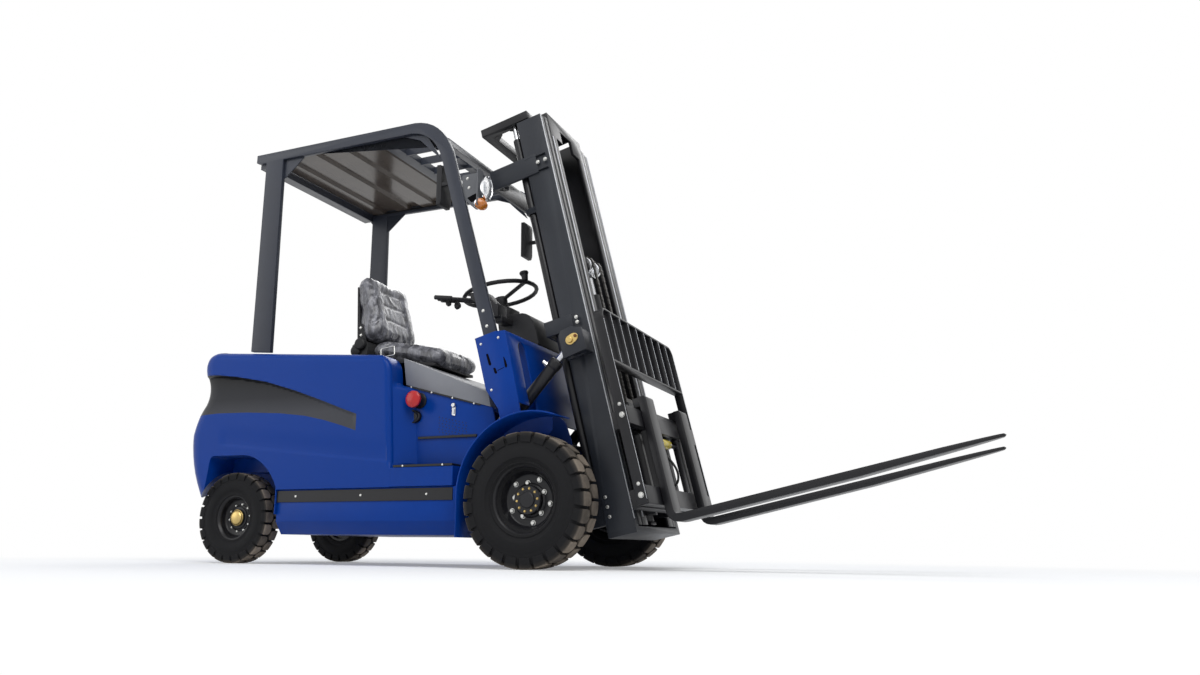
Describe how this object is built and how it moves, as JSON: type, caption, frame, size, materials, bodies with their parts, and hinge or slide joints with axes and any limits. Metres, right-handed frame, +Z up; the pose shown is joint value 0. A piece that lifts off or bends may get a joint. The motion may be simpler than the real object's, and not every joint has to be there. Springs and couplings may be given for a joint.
{
  "type": "counterbalance forklift truck",
  "caption": "Electric counterbalance forklift: blue body, overhead guard, three-stage mast tilted back, side-shifting carriage with load backrest and two forks.",
  "frame": {"origin": "on the floor, below the middle of the truck's overall length and width", "axes": "+X forward to the fork tips, +Y to the driver's left, +Z up"},
  "size_m": [3.6372, 1.11, 2.1123],
  "materials": {
    "blue_paint": "gloss cobalt blue enamel",
    "slate_paint": "satin slate grey enamel on guard and mast rails",
    "black_paint": "satin black enamel",
    "black_plastic": "grained black moulded plastic",
    "grey_lid": "dark grey grained lid",
    "tyre_rubber": "dusty black rubber",
    "seat_cover": "dark vinyl under a creased clear wrap",
    "bright_steel": "hard chromed rod",
    "chain_steel": "oiled chain",
    "roof_tint": "smoke brown ribbed sheet",
    "yellow_paint": "gloss yellow enamel",
    "lamp": "clear lamp",
    "hose_rubber": "smooth black hose",
    "battery_grey": "battery block"
  },
  "bodies": {
    "chassis_body": {"body": "blue_paint", "chassis": "blue_paint", "floor_plate": "black_paint", "battery_case": "blue_paint", "battery_lid": "grey_lid", "battery": "battery_grey", "cowl": "blue_paint", "fender_R": "blue_paint", "fender_L": "blue_paint", "dash": "black_plastic", "steering_column": "black_plastic", "lever_bank": "black_plastic", "pedals": "black_paint", "overhead_guard": "slate_paint", "roof_sheet": "roof_tint", "headlight_R": "lamp", "headlight_L": "lamp", "mirror_R": "black_plastic", "mirror_L": "black_plastic", "drive_axle": "black_paint", "steer_axle": "black_paint"},
    "seat_unit": {"seat_deck": "black_plastic", "seat_base": "black_plastic", "seat_cushion": "seat_cover", "seat_back": "seat_cover"},
    "steering_wheel_body": {"steering_wheel": "black_plastic"},
    "mast_outer": {"outer_mast": "slate_paint", "lift_barrel_R": "black_paint", "lift_barrel_L": "black_paint"},
    "mast_middle": {"middle_mast": "slate_paint", "lift_rod_R": "bright_steel", "lift_rod_L": "bright_steel", "main_chains": "chain_steel"},
    "mast_inner": {"inner_mast": "slate_paint", "free_barrel": "black_paint"},
    "free_piston": {"free_rod": "bright_steel", "free_chains": "chain_steel"},
    "carriage_body": {"carriage": "black_paint", "shift_cylinder": "yellow_paint", "shift_hose": "hose_rubber"},
    "shifter": {"shift_frame": "black_paint", "backrest": "black_paint"},
    "drive_wheel_R": {"drive_tyre_R": "tyre_rubber", "drive_rim_R": "black_paint"},
    "knuckle_body_R": {"knuckle_R": "black_paint"},
    "steer_wheel_R": {"steer_tyre_R": "tyre_rubber", "steer_rim_R": "black_paint"},
    "tilt_barrel_body_R": {"tilt_barrel_R": "black_paint"},
    "tilt_rod_body_R": {"tilt_rod_R": "bright_steel"},
    "fork_body_R": {"fork_R": "black_paint"},
    "drive_wheel_L": {"drive_tyre_L": "tyre_rubber", "drive_rim_L": "black_paint"},
    "knuckle_body_L": {"knuckle_L": "black_paint"},
    "steer_wheel_L": {"steer_tyre_L": "tyre_rubber", "steer_rim_L": "black_paint"},
    "tilt_barrel_body_L": {"tilt_barrel_L": "black_paint"},
    "tilt_rod_body_L": {"tilt_rod_L": "bright_steel"},
    "fork_body_L": {"fork_L": "black_paint"}
  },
  "joints": [
    {"name": "drive_wheel_R_spin", "type": "hinge", "parent": "chassis_body", "child": "drive_wheel_R", "pos_m": [0.07037, -0.476, 0.27], "axis": [0, 1, 0], "continuous": true},
    {"name": "steer_R", "type": "hinge", "parent": "chassis_body", "child": "knuckle_body_R", "pos_m": [-1.50563, -0.335, 0.21], "axis": [0, 0, 1], "range_deg": [-75, 75]},
    {"name": "steer_wheel_R_spin", "type": "hinge", "parent": "knuckle_body_R", "child": "steer_wheel_R", "pos_m": [-1.50563, -0.418, 0.21], "axis": [0, 1, 0], "continuous": true},
    {"name": "drive_wheel_L_spin", "type": "hinge", "parent": "chassis_body", "child": "drive_wheel_L", "pos_m": [0.07037, 0.476, 0.27], "axis": [0, 1, 0], "continuous": true},
    {"name": "steer_L", "type": "hinge", "parent": "chassis_body", "child": "knuckle_body_L", "pos_m": [-1.50563, 0.335, 0.21], "axis": [0, 0, 1], "range_deg": [-75, 75]},
    {"name": "steer_wheel_L_spin", "type": "hinge", "parent": "knuckle_body_L", "child": "steer_wheel_L", "pos_m": [-1.50563, 0.418, 0.21], "axis": [0, 1, 0], "continuous": true},
    {"name": "steering_wheel_turn", "type": "hinge", "parent": "chassis_body", "child": "steering_wheel_body", "pos_m": [-0.31963, 0, 1.228], "axis": [-0.1694, 0, 0.9855], "range_deg": [-360, 360]},
    {"name": "seat_deck_hinge", "type": "hinge", "parent": "chassis_body", "child": "seat_unit", "pos_m": [-1.43463, 0, 0.99818], "axis": [0, -1, 0], "range_deg": [0, 60]},
    {"name": "mast_tilt", "type": "hinge", "parent": "chassis_body", "child": "mast_outer", "pos_m": [0.07037, 0, 0.27], "axis": [0, 1, 0], "range_deg": [0, 18]},
    {"name": "tilt_cylinder_R_swing", "type": "hinge", "parent": "chassis_body", "child": "tilt_barrel_body_R", "pos_m": [-0.15963, -0.352, 0.53], "axis": [0, 1, 0], "range_deg": [-0.5, 18.5]},
    {"name": "tilt_cylinder_R_stroke", "type": "slide", "parent": "tilt_barrel_body_R", "child": "tilt_rod_body_R", "axis": [0.6698, 0, 0.7425], "range_m": [-0.002, 0.112]},
    {"name": "tilt_cylinder_L_swing", "type": "hinge", "parent": "chassis_body", "child": "tilt_barrel_body_L", "pos_m": [-0.15963, 0.352, 0.53], "axis": [0, 1, 0], "range_deg": [-0.5, 18.5]},
    {"name": "tilt_cylinder_L_stroke", "type": "slide", "parent": "tilt_barrel_body_L", "child": "tilt_rod_body_L", "axis": [0.6698, 0, 0.7425], "range_m": [-0.002, 0.112]},
    {"name": "mast_middle_lift", "type": "slide", "parent": "mast_outer", "child": "mast_middle", "axis": [-0.225, 0, 0.9744], "range_m": [0, 1.2]},
    {"name": "mast_inner_lift", "type": "slide", "parent": "mast_middle", "child": "mast_inner", "axis": [-0.225, 0, 0.9744], "range_m": [0, 1.2]},
    {"name": "carriage_lift", "type": "slide", "parent": "mast_inner", "child": "carriage_body", "axis": [-0.225, 0, 0.9744], "range_m": [0, 1.3]},
    {"name": "free_lift_stroke", "type": "slide", "parent": "mast_inner", "child": "free_piston", "axis": [-0.225, 0, 0.9744], "range_m": [0, 0.65]},
    {"name": "side_shift", "type": "slide", "parent": "carriage_body", "child": "shifter", "axis": [0, 1, 0], "range_m": [-0.1, 0.1]},
    {"name": "fork_R_spread", "type": "slide", "parent": "shifter", "child": "fork_body_R", "axis": [0, -1, 0], "range_m": [0, 0.15]},
    {"name": "fork_L_spread", "type": "slide", "parent": "shifter", "child": "fork_body_L", "axis": [0, 1, 0], "range_m": [0, 0.15]}
  ],
  "couplings": [
    {"joint": "tilt_cylinder_R_swing", "follows": "mast_tilt", "ratio": 0.97665},
    {"joint": "tilt_cylinder_R_stroke", "follows": "mast_tilt", "m_per_rad": 0.34542},
    {"joint": "tilt_cylinder_L_swing", "follows": "mast_tilt", "ratio": 0.97665},
    {"joint": "tilt_cylinder_L_stroke", "follows": "mast_tilt", "m_per_rad": 0.34542},
    {"joint": "steer_L", "follows": "steer_R", "ratio": 1},
    {"joint": "steering_wheel_turn", "follows": "steer_R", "ratio": -4.8},
    {"joint": "mast_inner_lift", "follows": "mast_middle_lift", "ratio": 1},
    {"joint": "free_lift_stroke", "follows": "carriage_lift", "ratio": 0.5}
  ]
}
